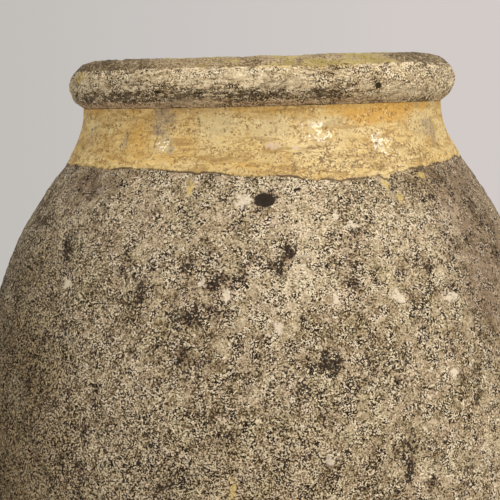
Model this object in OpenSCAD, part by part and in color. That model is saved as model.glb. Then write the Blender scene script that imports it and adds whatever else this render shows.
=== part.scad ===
// Large olive jar of fired clay, raised on rope, with a glazed collar, crown and inside.
// Millimetres, +Z up, the origin is the centre of the underside and -Y is the front.
// The clay pieces are the sections in which such a jar is raised, luted edge to edge.

/* [Base] */
// Diameter of the base disc, on whose edge the wall stands
base_d = 280; // [260:1:300]
// Thickness of the base disc
base_t = 32; // [24:1:40]
// Width of the foot ring round the base disc
foot_w = 18; // [12:1:24]
// Length of wall that the foot ring wraps
foot_lap = 24; // [16:1:36]
// Bevel at the foot ring's lower edge
foot_bevel = 5; // [2:0.5:8]
// Radius of the clay worked into the corner between floor and wall
corner_r = 34; // [28:1:44]

/* [Wall] */
// Largest outer diameter, at the belly
belly_d = 652; // [600:1:700]
// Height from the base disc's top to the belly
belly_h = 446; // [400:1:520]
// Height from the belly to the collar's seam
shoulder_h = 325; // [290:1:360]
// Outer diameter at the collar's seam
shoulder_d = 436; // [424:1:460]
// Lean of the wall from the vertical at the base
foot_lean = 27; // [20:1:32]
// Lean of the wall from the vertical at the collar's seam
shoulder_lean = 38; // [30:1:42]
// Reach of the straight run above the base
foot_reach = 150; // [100:1:200]
// Reach of the belly's roundness downwards
belly_reach_down = 185; // [120:1:230]
// Reach of the belly's roundness upwards
belly_reach_up = 90; // [60:1:140]
// Reach of the straight run under the collar's seam
shoulder_reach = 136; // [90:1:160]
// Thickness of the wall
wall_t = 24; // [18:1:28]
// Length of wall in the first lift, from the base disc up
first_lift = 270; // [200:1:320]
// Length of wall in the second lift
second_lift = 290; // [220:1:340]
// Height of the ridge along the middle of each luted edge
seam_ridge = 5; // [2:0.5:8]

/* [Rope marks] */
// Distance from turn to turn of the rope that the wall was raised on
rope_pitch = 26; // [20:1:36]
// Depth of the mark that each turn left inside
rope_depth = 3; // [1:0.5:5]
// Length of wall smoothed by hand at the bottom and at the top
smooth_margin = 40; // [30:1:80]

/* [Collar] */
// Height from the collar's seam to the lip's seat
collar_h = 65; // [58:1:76]
// Outer diameter of the collar's waist under the lip
collar_d = 388; // [378:1:398]
// Diameter of the throat in the clay
throat_d = 327; // [310:1:335]
// Height of the straight throat under the lip's seat
throat_h = 34; // [26:1:38]
// Height of the straight waist under the lip's seat
waist_h = 6; // [3:1:12]
// Reach of the collar's flare above its seam
flare_reach = 24; // [16:1:32]
// Reach of the collar's flare under its waist
waist_reach = 13; // [8:1:20]

/* [Lip] */
// Outer diameter of the rolled lip
lip_d = 419; // [408:1:430]
// Height of the rolled lip above its seat
lip_h = 50; // [46:1:60]
// Diameter along the lip's crown
crown_d = 349; // [345:1:360]
// Height from the lip's seat to its widest point
lip_wide_h = 25; // [20:1:30]
// Height of the round inner edge under the crown
lip_inner_h = 22; // [14:1:30]
// Rise and fall of the crown round the hand-rolled lip
lip_wobble = 1.5; // [0:0.5:4]

/* [Glaze] */
// Thickness of the glaze
glaze_t = 1.2; // [0.8:0.1:2]
// Thickness of the glaze where it thins out at an edge
glaze_edge_t = 0.5; // [0.3:0.1:0.8]
// Length of collar left bare between its seam and the glaze's edge
glaze_start = 7; // [2:0.5:12]
// How far the glaze sags over the shoulder at the front right
glaze_sag = 14; // [0:0.5:18]
// How far the waves and runs of the glaze's edge reach
glaze_waves = 2; // [0:0.5:4]
// How far the crown's glaze comes down outside
crown_glaze_drop = 8; // [4:0.5:12]

/* [Hidden] */
$fn = 96;

clay = [0.60, 0.54, 0.45];
weathered_clay = [0.52, 0.46, 0.37];
lip_clay = [0.64, 0.56, 0.44];
yellow_glaze = [0.80, 0.64, 0.35];

belly_z = base_t + belly_h;
seam_z = belly_z + shoulder_h;
seat_z = seam_z + collar_h;
wide_z = seat_z + lip_wide_h;
crown_z = seat_z + lip_h;
throat_r = throat_d / 2;
collar_r = collar_d / 2;
lip_r = lip_d / 2;
crown_r = crown_d / 2;

// How finely the curves are followed
curve_steps = 240;
outer_step = 15;
marks_per_turn = 4;
bend_steps = 8;
collar_steps = 10;
roll_steps = 6;
lip_facets = 72;
glaze_facets = 96;

// Plane points are [radius, height]
function unit(v) = v / norm(v);
function mix(a, b, t) = a + (b - a) * t;
function along(lean, reach) = reach * [sin(lean), cos(lean)];
function backwards(points) = [for (i = [len(points) - 1 : -1 : 0]) points[i]];
function without_last(points) = [for (i = [0 : len(points) - 2]) points[i]];
function bezier(p, t) =
    pow(1 - t, 3) * p[0] + 3 * pow(1 - t, 2) * t * p[1] + 3 * (1 - t) * t * t * p[2] + pow(t, 3) * p[3];
function bend(p) = [for (i = [0 : bend_steps]) bezier(p, i / bend_steps)];

// The wall's outer line in four spans: base to belly, belly to seam, seam to waist, waist to seat
foot_point = [base_d / 2, base_t];
belly_point = [belly_d / 2, belly_z];
seam_point = [shoulder_d / 2, seam_z];
waist_point = [collar_r, seat_z - waist_h];
seat_point = [collar_r, seat_z];
spans = [
    [foot_point, foot_point + along(foot_lean, foot_reach),
     belly_point - [0, belly_reach_down], belly_point],
    [belly_point, belly_point + [0, belly_reach_up],
     seam_point - along(-shoulder_lean, shoulder_reach), seam_point],
    [seam_point, seam_point + along(-shoulder_lean, flare_reach),
     waist_point - [0, waist_reach], waist_point],
    [waist_point, mix(waist_point, seat_point, 1 / 3), mix(waist_point, seat_point, 2 / 3), seat_point]
];
function outer_at(u) = let (span = min(3, floor(u))) bezier(spans[span], u - span);

// Length of wall walked along that line, and the places of the seams on it
walk = [for (i = 0, s = 0, u = 0; i <= 4 * curve_steps;
             i = i + 1, s = s + norm(outer_at(i / curve_steps) - outer_at(u)), u = i / curve_steps) [u, s]];
spans_by_length = [for (step = walk) [step[1], step[0]]];
first_seam = first_lift;
second_seam = first_lift + second_lift;
collar_seam = lookup(2, walk);
collar_end = lookup(4, walk);
function outer(s) = outer_at(lookup(s, spans_by_length));
function tangent(s) = unit(outer(s + 1) - outer(s - 1));
function normal(s) = [tangent(s)[1], -tangent(s)[0]];
function middle(s, rise) = outer(s) - wall_t / 2 * normal(s) + rise * tangent(s);

// The wall's inner line, with the rope's turns pressed into it and smoothed out at both ends
function fade(s) =
    max(0, min(1, (s - smooth_margin) / rope_pitch, (collar_seam - smooth_margin - s) / rope_pitch));
function rope_mark(s) = rope_depth * fade(s) * abs(sin(180 * s / rope_pitch));
function inner(s) = outer(s) - (wall_t - rope_mark(s)) * normal(s);

// Places from one length to another that fall on whole multiples of a step between them
function places(from, to, step) = concat([from],
    [for (k = [ceil(from / step + 0.25) : floor(to / step - 0.25)]) k * step], [to]);
function outer_line(from, to) = [for (s = places(from, to, outer_step)) outer(s)];
function inner_line(from, to) = [for (s = places(from, to, rope_pitch / marks_per_turn)) inner(s)];
function collar_place(i) = mix(collar_seam, collar_end, i / collar_steps);

// The corner inside the base: a bend from the floor to the wall's inner line
wall_inside = [base_d / 2 - wall_t / cos(foot_lean), base_t];
corner_s = corner_r - wall_t * tan(foot_lean);
corner_bend = bend([wall_inside - [corner_r, 0], wall_inside - [corner_r / 2, 0],
                    inner(corner_s) - along(foot_lean, corner_r / 2), inner(corner_s)]);

// The bend from the wall's inner line up to the straight throat
throat_bottom = [throat_r, seat_z - throat_h];
throat_reach = norm(throat_bottom - inner(collar_seam)) / 3;
throat_bend = bend([inner(collar_seam), inner(collar_seam) + throat_reach * tangent(collar_seam),
                    throat_bottom - [0, throat_reach], throat_bottom]);

// The whole inside, from the middle of the floor to the lip's seat
inside_line = concat([[0, base_t]], without_last(corner_bend),
                     without_last(inner_line(corner_s, first_seam)),
                     without_last(inner_line(first_seam, second_seam)),
                     without_last(inner_line(second_seam, collar_seam)),
                     throat_bend, [[throat_r, seat_z]]);

// A direction square to a line of points, on its left side
function left_of(points, i) =
    let (way = unit(points[min(len(points) - 1, i + 1)] - points[max(0, i - 1)])) [-way[1], way[0]];

// The rolled lip: how it rises and swells round the jar, and its outline at one bearing
function rise(a) = lip_wobble * (0.5 * sin(a + 8) + 0.3 * sin(2 * a + 106) + 0.35 * sin(3 * a + 204));
function swell(a) = lip_wobble * (0.4 * sin(2 * a + 20) + 0.3 * sin(5 * a + 60));
roll_under = acos((collar_r - crown_r) / (lip_r - crown_r));
glaze_from = asin(1 - crown_glaze_drop / (lip_h - lip_wide_h));
function lip_under(a) = [for (i = [0 : roll_steps]) let (t = -roll_under * (1 - i / roll_steps))
    [crown_r + (lip_r - crown_r) * cos(t) + swell(a) * i / roll_steps,
     wide_z + lip_wide_h * sin(t) / sin(roll_under)]];
function lip_over(a, from, to, steps) = [for (i = [1 : steps]) let (t = mix(from, to, i / steps))
    [crown_r + (lip_r + swell(a) - crown_r) * cos(t), wide_z + (lip_h - lip_wide_h + rise(a)) * sin(t)]];
function lip_inside(a) = [for (i = [1 : roll_steps]) let (t = 90 * i / roll_steps)
    [crown_r - (crown_r - throat_r) * sin(t), crown_z - lip_inner_h + (lip_inner_h + rise(a)) * cos(t)]];
function bare_lip(a) = concat(lip_under(a), lip_over(a, 0, glaze_from, 3));
function crown(a) = concat(lip_over(a, glaze_from, 90, 4), lip_inside(a), [[throat_r, seat_z]]);

// The edges of the glaze coats round the jar
function run(a, at, wide, long) = long * exp(-pow(((a - at + 540) % 360 - 180) / wide, 2));
function runs(a) = run(a, 262, 6, 1) + run(a, 296, 5, 1.5) + run(a, 40, 8, 2) + run(a, 150, 8, 2.5);
function waves(a) = 0.5 * sin(5 * a + 80) + 0.4 * sin(11 * a) + 0.3 * sin(17 * a + 50);
function glaze_edge(a) =
    collar_seam + glaze_start - run(a, 290, 24, glaze_sag) + glaze_waves * (waves(a) - runs(a));
function crown_edge(a) = 0.5 + 0.25 * sin(4 * a + 40) + 0.2 * sin(13 * a + 10);

// A ring of wall with a ridge on its upper edge, and under it a groove for the next ridge
module lift(from, to) {
    rotate_extrude()
        polygon(concat(outer_line(from, to), [middle(to, seam_ridge)],
                       backwards(inner_line(from, to)), [middle(from, seam_ridge)]));
}

// A closed band round the jar from its outline at each bearing, with its flats at the true radius
module band(outlines) {
    n = len(outlines);
    m = len(outlines[0]);
    points = [for (k = [0 : n - 1]) for (p = outlines[k]) let (r = p[0] / cos(180 / n), a = 360 * k / n)
        [r * cos(a), r * sin(a), p[1]]];
    faces = [for (k = [0 : n - 1]) for (j = [0 : m - 1])
        let (next = (k + 1) % n, up = (j + 1) % m, here = k * m + j, beside = next * m + j,
             above = k * m + up, across = next * m + up)
        each [[here, across, beside], [here, above, across]]];
    polyhedron(points, faces);
}

module base_disc() {
    color(clay) cylinder(d = base_d, h = base_t);
}

module foot_ring() {
    side = bend([[base_d / 2 + foot_w, foot_bevel], [base_d / 2 + foot_w + foot_bevel, base_t],
                 outer(foot_lap) + [foot_bevel, -foot_bevel], outer(foot_lap)]);
    color(weathered_clay)
        rotate_extrude()
            polygon(concat([[base_d / 2, 0], [base_d / 2 + foot_w - foot_bevel, 0]], without_last(side),
                           backwards(outer_line(0, foot_lap))));
}

module corner_coil() {
    color(clay)
        rotate_extrude()
            polygon(concat(corner_bend, backwards(without_last(inner_line(0, corner_s))), [wall_inside]));
}

module lower_wall() {
    outside = concat(without_last(outer_line(0, foot_lap)), outer_line(foot_lap, first_seam));
    inside = concat(without_last(inner_line(0, corner_s)), inner_line(corner_s, first_seam));
    color(clay)
        rotate_extrude()
            polygon(concat(outside, [middle(first_seam, seam_ridge)], backwards(inside), [wall_inside]));
}

module belly_wall() {
    color(weathered_clay) lift(first_seam, second_seam);
}

module shoulder_wall() {
    color(clay) lift(second_seam, collar_seam);
}

module collar() {
    outside = [for (i = [0 : collar_steps]) outer(collar_place(i))];
    color(clay)
        rotate_extrude()
            polygon(concat(outside, [[throat_r, seat_z]], backwards(throat_bend),
                           [middle(collar_seam, seam_ridge)]));
}

module rolled_lip() {
    color(lip_clay)
        band([for (k = [0 : lip_facets - 1]) let (a = 360 * k / lip_facets) concat(bare_lip(a), crown(a))]);
}

module collar_glaze() {
    // the sag follows the shoulder's last straight span, and the rest the collar's own points
    rows = collar_steps;
    below = floor(collar_seam / outer_step - 0.25) * outer_step;
    function on_shoulder(s) =
        mix(outer(below), outer(collar_seam), (s - below) / (collar_seam - below));
    function on_collar(s) =
        let (v = (s - collar_seam) / (collar_end - collar_seam) * collar_steps,
             i = min(floor(v), collar_steps - 1))
            mix(outer(collar_place(i)), outer(collar_place(i + 1)), v - i);
    function on_clay(s) = s < collar_seam ? on_shoulder(s) : on_collar(s);
    function row(a, i) =
        i == 0 ? glaze_edge(a) : max(mix(glaze_edge(a), collar_end, i / rows), collar_place(i));
    color(yellow_glaze)
        band([for (k = [0 : glaze_facets - 1]) let (a = 360 * k / glaze_facets)
            concat([for (i = [0 : rows]) let (s = row(a, i))
                        on_clay(s) + (i == 0 ? glaze_edge_t : glaze_t) * normal(s)],
                   [for (i = [rows : -1 : 0]) on_clay(row(a, i))])]);
}

module crown_glaze() {
    function back(a) = let (bare = bare_lip(a))
        concat([mix(bare[len(bare) - 1], crown(a)[0], crown_edge(a))], crown(a));
    function front(line) = [for (i = [0 : len(line) - 1])
        i == len(line) - 1 ? line[i] - [glaze_t, 0]
        : line[i] - (i == 0 ? glaze_edge_t : glaze_t) * left_of(line, i)];
    color(yellow_glaze)
        band([for (k = [0 : lip_facets - 1]) let (line = back(360 * k / lip_facets))
            concat(front(line), backwards(line))]);
}

module inside_glaze() {
    last = len(inside_line) - 1;
    face = [for (i = [0 : last]) inside_line[i]
        + glaze_t * (i == 0 ? [0, 1] : i == last ? [-1, 0] : left_of(inside_line, i))];
    color(yellow_glaze)
        rotate_extrude()
            polygon(concat(inside_line, backwards(face)));
}

base_disc();
foot_ring();
corner_coil();
lower_wall();
belly_wall();
shoulder_wall();
collar();
rolled_lip();
collar_glaze();
crown_glaze();
inside_glaze();
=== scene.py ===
"""The looks of the olive jar: weathered, lichen-grown clay, a worn lip and yellow glaze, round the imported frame.

Metres, +Z up, -Y is the side the photograph shows. A bearing is in degrees round the jar from the middle of
that side, positive to the picture's right. A clay or glaze surface is a grid round the jar, moved in and out
by smooth noise that depends on the place alone, so that neighbouring pieces meet without a step.
"""

import itertools
import math

import bpy
import numpy as np
from mathutils import Matrix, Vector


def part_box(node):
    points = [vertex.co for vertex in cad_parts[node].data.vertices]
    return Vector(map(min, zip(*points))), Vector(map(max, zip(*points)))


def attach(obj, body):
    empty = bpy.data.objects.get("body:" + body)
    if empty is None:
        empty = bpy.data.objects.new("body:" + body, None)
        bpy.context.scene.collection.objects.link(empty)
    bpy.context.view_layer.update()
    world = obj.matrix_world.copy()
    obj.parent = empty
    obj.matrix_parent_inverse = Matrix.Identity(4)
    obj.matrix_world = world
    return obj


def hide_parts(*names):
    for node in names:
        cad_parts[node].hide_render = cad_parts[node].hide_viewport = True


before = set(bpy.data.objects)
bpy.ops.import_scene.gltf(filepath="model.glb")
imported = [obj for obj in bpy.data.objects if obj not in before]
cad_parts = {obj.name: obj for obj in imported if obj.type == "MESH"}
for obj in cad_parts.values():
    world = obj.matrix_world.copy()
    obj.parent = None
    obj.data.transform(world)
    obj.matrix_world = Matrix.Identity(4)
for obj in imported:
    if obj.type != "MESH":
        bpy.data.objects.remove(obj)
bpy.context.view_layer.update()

# Sizes read from the frame
BASE_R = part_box("base_disc")[1].x
BASE_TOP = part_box("base_disc")[1].z
SEAM_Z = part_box("shoulder_wall")[1].z
SEAT_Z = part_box("collar")[1].z

# Sizes of the wall's line, as in the CAD model
BELLY = (0.326, 0.478)
SEAM = (0.218, 0.803)
WAIST = (0.194, SEAT_Z - 0.006)
FOOT_LEAN, SHOULDER_LEAN = math.radians(27), math.radians(38)
FOOT_REACH, BELLY_REACH_DOWN, BELLY_REACH_UP, SHOULDER_REACH = 0.150, 0.185, 0.090, 0.136
FLARE_REACH, WAIST_REACH = 0.024, 0.013
WALL_T = 0.024
FIRST_SEAM, SECOND_SEAM = 0.270, 0.560
SEAM_RIDGE = 0.005
FOOT_W, FOOT_LAP, FOOT_BEVEL = 0.018, 0.024, 0.005
CORNER_R = 0.034
ROPE_PITCH, ROPE_DEPTH, SMOOTH_MARGIN = 0.026, 0.003, 0.040
THROAT_R, THROAT_H = 0.1635, 0.034
LIP_R, LIP_H, LIP_WIDE_H, LIP_INNER_H = 0.2095, 0.050, 0.025, 0.022
LIP_WOBBLE = 0.0015
CROWN_R = 0.1745
CROWN_GLAZE_DROP = 0.008
GLAZE_T = 0.0012
GLAZE_START, GLAZE_SAG, GLAZE_WAVES = 0.007, 0.014, 0.002

# How finely the surfaces are cut
COARSENESS = 1
AROUND = 720 // COARSENESS
AROUND_INSIDE = 360 // COARSENESS
FINE = 0.0026 * COARSENESS
INSIDE_STEP = ROPE_PITCH / 5 * COARSENESS
COARSE = 0.012


# Plane lines, whose points are [radius, height]

def unit(v):
    v = np.asarray(v, float)
    return v / np.linalg.norm(v, axis=-1, keepdims=True)


def along(lean, reach):
    return np.array([reach * math.sin(lean), reach * math.cos(lean)])


def bezier(p, t):
    """Points of a cubic curve at each t."""
    t = np.asarray(t, float)[:, None]
    a, b, c, d = (np.asarray(q, float) for q in p)
    return (1 - t) ** 3 * a + 3 * (1 - t) ** 2 * t * b + 3 * (1 - t) * t * t * c + t ** 3 * d


def smoothstep(low, high, x):
    t = np.clip((x - low) / (high - low), 0, 1)
    return t * t * (3 - 2 * t)


class Line:
    """A plane curve that can be read at any length along it, with the normal on its right side."""

    def __init__(self, points):
        points = np.asarray(points, float)
        keep = np.r_[True, np.linalg.norm(np.diff(points, axis=0), axis=1) > 1e-9]
        self.points = points[keep]
        steps = np.linalg.norm(np.diff(self.points, axis=0), axis=1)
        self.lengths = np.r_[0, np.cumsum(steps)]
        self.length = self.lengths[-1]
        way = unit(np.gradient(self.points, self.lengths, axis=0))
        self.normals = np.stack([way[:, 1], -way[:, 0]], 1)

    def read(self, table, s):
        return np.stack([np.interp(s, self.lengths, table[:, i]) for i in (0, 1)], -1)

    def at(self, s):
        return self.read(self.points, s)

    def normal(self, s):
        return unit(self.read(self.normals, s))

    def places(self, step):
        """Even lengths along the whole line, no further apart than step."""
        return np.linspace(0, self.length, max(2, math.ceil(self.length / step - 1e-6) + 1))


def outer_wall():
    """The jar's outer line from the base disc to the lip's seat, and the length at which the collar begins."""
    foot, belly, seam, waist = (np.array(p) for p in ((BASE_R, BASE_TOP), BELLY, SEAM, WAIST))
    t = np.linspace(0, 1, 400)
    below = np.vstack([
        bezier((foot, foot + along(FOOT_LEAN, FOOT_REACH), belly - [0, BELLY_REACH_DOWN], belly), t),
        bezier((belly, belly + [0, BELLY_REACH_UP], seam - along(-SHOULDER_LEAN, SHOULDER_REACH), seam), t)])
    flare = bezier((seam, seam + along(-SHOULDER_LEAN, FLARE_REACH), waist - [0, WAIST_REACH], waist), t)
    straight = np.linspace(waist, (WAIST[0], SEAT_Z), 8)
    return Line(np.vstack([below, flare, straight])), Line(below).length


OUTER, COLLAR_SEAM = outer_wall()
COLLAR_END = OUTER.length


def rope_mark(s):
    """How deep the rope's turns are pressed into the wall's inner side."""
    fade = np.minimum((s - SMOOTH_MARGIN) / ROPE_PITCH, (COLLAR_SEAM - SMOOTH_MARGIN - s) / ROPE_PITCH)
    return ROPE_DEPTH * np.clip(fade, 0, 1) * np.abs(np.sin(np.pi * s / ROPE_PITCH))


def inner(s):
    s = np.atleast_1d(s)
    return OUTER.at(s) - (WALL_T - rope_mark(s))[:, None] * OUTER.normal(s)


def middle(s, rise):
    """A point in the middle of the wall, where a luted edge has its ridge."""
    n = OUTER.normal(s)
    return OUTER.at(s) - WALL_T / 2 * n + rise * np.array([-n[1], n[0]])


def steps_between(start, end, step):
    """Lengths from start to end, with the whole multiples of step between them."""
    first, last = math.ceil(start / step + 0.25), math.floor(end / step - 0.25)
    return np.r_[start, step * np.arange(first, last + 1), end]


WALL_INSIDE = np.array([BASE_R - WALL_T / math.cos(FOOT_LEAN), BASE_TOP])
CORNER_S = CORNER_R - WALL_T * math.tan(FOOT_LEAN)
CORNER_TOP = inner(CORNER_S)[0]
CORNER_BEND = bezier((WALL_INSIDE - [CORNER_R, 0], WALL_INSIDE - [CORNER_R / 2, 0],
                      CORNER_TOP - along(FOOT_LEAN, CORNER_R / 2), CORNER_TOP), np.linspace(0, 1, 13))
THROAT_BOTTOM = np.array([THROAT_R, SEAT_Z - THROAT_H])
THROAT_START = inner(COLLAR_SEAM)[0]
THROAT_REACH = np.linalg.norm(THROAT_BOTTOM - THROAT_START) / 3
THROAT_BEND = bezier((THROAT_START, THROAT_START + along(-SHOULDER_LEAN, THROAT_REACH),
                      THROAT_BOTTOM - [0, THROAT_REACH], THROAT_BOTTOM), np.linspace(0, 1, 17))


# Smooth noise

def scramble(cell, seed):
    """A repeatable random whole number for each lattice cell."""
    x, y, z = (cell[:, i].astype(np.uint64) for i in range(3))
    low = np.uint64(0xFFFFFFFF)
    h = (x * np.uint64(0x8DA6B343) ^ y * np.uint64(0xD8163841) ^ z * np.uint64(0xCB1AB31F)) & low
    h = (h ^ np.uint64(seed * 0x9E3779B1 & 0xFFFFFFFF)) & low
    for factor in (0x2C1B3C6D, 0x297A2D39):
        h = ((h ^ (h >> np.uint64(15))) * np.uint64(factor)) & low
    return h ^ (h >> np.uint64(15))


def noise(p, wave, seed=0):
    """Smooth noise, mostly from -1 to 1, with waves of about that length, which may differ along X, Y and Z."""
    q = p / np.asarray(wave, float)
    cell = np.floor(q)
    f = q - cell
    cell = cell.astype(np.int64)
    fade = f ** 3 * (f * (f * 6 - 15) + 10)
    total = np.zeros(len(p))
    for corner in itertools.product((0, 1), repeat=3):
        h = scramble(cell + corner, seed)
        lean = np.stack([(h >> np.uint64(k)) & np.uint64(1023) for k in (0, 10, 20)], 1).astype(float) / 511.5 - 1
        share = np.prod(np.where(corner, fade, 1 - fade), axis=1)
        total += share * ((f - corner) * lean).sum(1)
    return total * 1.9


def layered(p, wave, seed=0, layers=3, gain=0.5):
    """Noise with finer and weaker noise laid over it."""
    total = 0
    for i in range(layers):
        total = total + gain ** i * noise(p, np.asarray(wave, float) / 2 ** i, seed + 17 * i)
    return total


def bearing_of(p):
    return np.degrees(np.arctan2(p[:, 0], -p[:, 1]))


def turned(bearing, start):
    """Degrees from one bearing to another, the short way round."""
    return (bearing - start + 180) % 360 - 180


def patch(p, bearing, height, wide, tall, ragged=0.45, seed=0, soft=0.6):
    """1 in the middle of a patch on the surface, falling to 0 past its edge, which noise makes ragged."""
    r = np.maximum(np.hypot(p[:, 0], p[:, 1]), 1e-6)
    across = np.radians(turned(bearing_of(p), bearing)) * r / (wide / 2)
    far = np.hypot(across, (p[:, 2] - height) / (tall / 2))
    near = far < 1 + soft + 2 * ragged
    if near.any():
        far[near] += ragged * layered(p[near], min(wide, tall) * 0.5, seed, 3, 0.7)
    return np.where(near, np.clip((1 + soft - far) / (2 * soft), 0, 1), 0)


def patches(p, rows):
    """The strongest of several patches at each place."""
    return np.maximum.reduce([patch(p, *row, seed=i) for i, row in enumerate(rows)])


# Surfaces

class Outline:
    """A closed outline, part by part, run with its solid on the left. A part's ends are crisp edges.
    Each point has the way it may move, and how much of the surface's relief it takes."""

    def __init__(self):
        self.points, self.normals, self.share, self.crisp = [], [], [], []

    def add(self, points, normals=None, share=0.0):
        points = np.atleast_2d(points)
        if normals is None:
            normals = Line(points).normals if len(points) > 1 else np.zeros((1, 2))
        here = sum(len(p) for p in self.points)
        self.crisp += [here, here + len(points) - 1]
        self.points.append(points)
        self.normals.append(np.broadcast_to(normals, points.shape))
        self.share.append(np.broadcast_to(np.asarray(share, float), len(points)))
        return self

    def add_line(self, line, step, share=1.0, trim_start=False):
        """A part that follows a line in even steps."""
        s = line.places(step)[1 if trim_start else 0:]
        return self.add(line.at(s), line.normal(s), share)

    def add_outer(self, start, end, step=FINE, share=1.0):
        """A part that follows the jar's outer line."""
        s = np.linspace(start, end, max(2, math.ceil((end - start) / step) + 1))
        return self.add(OUTER.at(s), OUTER.normal(s), share)

    def add_inner(self, start, end, step=COARSE):
        """A part that follows the wall's inner line downwards, under the inside's glaze."""
        s = steps_between(start, end, step)[::-1]
        return self.add(inner(s), -OUTER.normal(s))

    def done(self):
        return np.vstack(self.points), np.vstack(self.normals), np.concatenate(self.share), self.crisp


def swing(plane, around):
    """Plane points or normals turned round the jar: (around, outline, 3). They may differ at each bearing."""
    plane = np.broadcast_to(plane, (around,) + plane.shape[-2:])
    turn = np.linspace(0, 2 * np.pi, around, endpoint=False)[:, None]
    return np.stack([plane[..., 0] * np.sin(turn), -plane[..., 0] * np.cos(turn), plane[..., 1]], 2)


def bearings(around):
    return np.linspace(0, 360, around, endpoint=False)


def uv_strips(outline, around, rows):
    """For each face corner a place on a map, with bearing across and outline length up, in stacked strips."""
    ends = np.vstack([outline, outline[:1]])
    steps = np.maximum(np.linalg.norm(np.diff(ends, axis=0), axis=1)[:rows], 1e-4)
    lengths = np.r_[0, np.cumsum(steps)] / steps.sum()
    girth = 2 * np.pi * outline[:, 0].max()
    strips = max(1, round(math.sqrt(girth / steps.sum())))
    column, row = np.divmod(np.arange(around * rows), rows)
    per_strip = around // strips
    strip = np.minimum(column // per_strip, strips - 1)
    count = np.where(strip == strips - 1, around - per_strip * (strips - 1), per_strip)
    edge = 0.004
    u = (column - strip * per_strip)[:, None] + np.array([0, 1, 1, 0])
    v = np.stack([lengths[row], lengths[row], lengths[row + 1], lengths[row + 1]], 1)
    u = edge + u / count[:, None] * (1 - 2 * edge)
    v = (strip[:, None] + edge + v * (1 - 2 * edge)) / strips
    return np.stack([u, v], 2)


def shell(name, verts, outline, crisp=(), masks=None, on_axis=False):
    """A closed mesh from verts (around, outline, 3). Where on_axis, the outline starts and ends on the axis
    and its two end rings become one vertex each."""
    n, m = verts.shape[:2]
    rows = m - 1 if on_axis else m
    index = np.arange(n * m).reshape(n, m)
    beside = np.roll(index, -1, axis=0)
    up = (np.arange(rows) + 1) % m
    quads = np.stack([index[:, :rows], beside[:, :rows], beside[:, up], index[:, up]], 2).reshape(-1, 4)
    uv = uv_strips(outline, n, rows)
    used = np.arange(n * m)
    if on_axis:
        merged = np.arange(n * m)
        merged[index[:, 0]] = index[0, 0]
        merged[index[:, -1]] = index[0, -1]
        quads = merged[quads]
        used = np.unique(quads)
        back = np.zeros(n * m, int)
        back[used] = np.arange(len(used))
        quads = back[quads]
    kept = quads != np.roll(quads, 1, axis=1)
    faces = [q[k].tolist() for q, k in zip(quads, kept)] if on_axis else quads.tolist()
    me = bpy.data.meshes.new(name)
    me.from_pydata(verts.reshape(-1, 3)[used].tolist(), [], faces)
    me.uv_layers.new(name="OFBake").uv.foreach_set("vector", uv[kept].ravel())
    me.shade_smooth()
    ring = np.zeros(m, bool)
    ring[list(crisp)] = True
    ends = np.zeros(len(me.edges) * 2, int)
    me.edges.foreach_get("vertices", ends)
    ends = used[ends].reshape(-1, 2) % m
    sharp = me.attributes.new("sharp_edge", "BOOLEAN", "EDGE")
    sharp.data.foreach_set("value", (ends[:, 0] == ends[:, 1]) & ring[ends[:, 0]])
    for key, values in (masks or {}).items():
        layer = me.attributes.new(key, "FLOAT", "POINT")
        layer.data.foreach_set("value", np.clip(values, 0, 1)[used].astype(np.float32))
    return me


def put(me, node, material):
    """Puts a mesh into the scene in place of its CAD node."""
    piece = bpy.data.objects.new(me.name, me)
    bpy.context.scene.collection.objects.link(piece)
    me.materials.append(material)
    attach(piece, "root")
    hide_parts(node)


def turned_piece(name, node, material, outline, relief, masks=None, around=AROUND, on_axis=False):
    """A piece that is one outline turned round the jar, with a relief and masks that depend on the place."""
    points, normals, share, crisp = outline.done()
    base = swing(points, around)
    p = base.reshape(-1, 3)
    shares = np.tile(share, around)
    amount = np.zeros(len(p))
    shown = shares > 0
    amount[shown] = shares[shown] * relief(p[shown])
    verts = base + swing(normals, around) * amount.reshape(around, -1, 1)
    drawn = {}
    for key, value in (masks(p[shown]) if masks else {}).items():
        drawn[key] = np.zeros(len(p))
        drawn[key][shown] = value
    put(shell(name, verts, points, crisp, drawn, on_axis), node, material)


# Relief of the clay

def growth(p):
    """Where clusters of dark lichen grow on the body."""
    return layered(p, 0.022, 61, 3, 0.6) + 0.5 * noise(p, 0.11, 62)


def clay_relief(p):
    """How far the weathered clay of the body stands out from its smooth line."""
    swell = 0.0022 * noise(p, (0.26, 0.26, 0.17), 1) + 0.0010 * noise(p, 0.075, 3)
    turning = 0.00035 * noise(p, (0.5, 0.5, 0.019), 2)
    wear = 0.00045 * layered(p, 0.015, 4, 2) + 0.0003 * layered(p, 0.0062, 5, 2, 0.8)
    flakes = -0.0011 * smoothstep(0.42, 0.52, layered(p, 0.034, 6, 3, 0.55))
    pits = -0.0013 * smoothstep(0.55, 0.85, noise(p, 0.0095, 7))
    crust = 0.0007 * smoothstep(0.55, 0.85, growth(p))
    rough = smoothstep(SEAT_Z - 0.012, SEAM_Z, p[:, 2]) * 0.85 + 0.15
    fuller = 0.0042 * np.exp(-(turned(bearing_of(p), -78) / 55) ** 2 - ((p[:, 2] - 0.715) / 0.075) ** 2)
    return fuller + swell * smoothstep(SEAT_Z + 0.02, SEAT_Z - 0.08, p[:, 2]) + turning \
        + (wear + flakes + pits + crust) * rough


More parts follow.
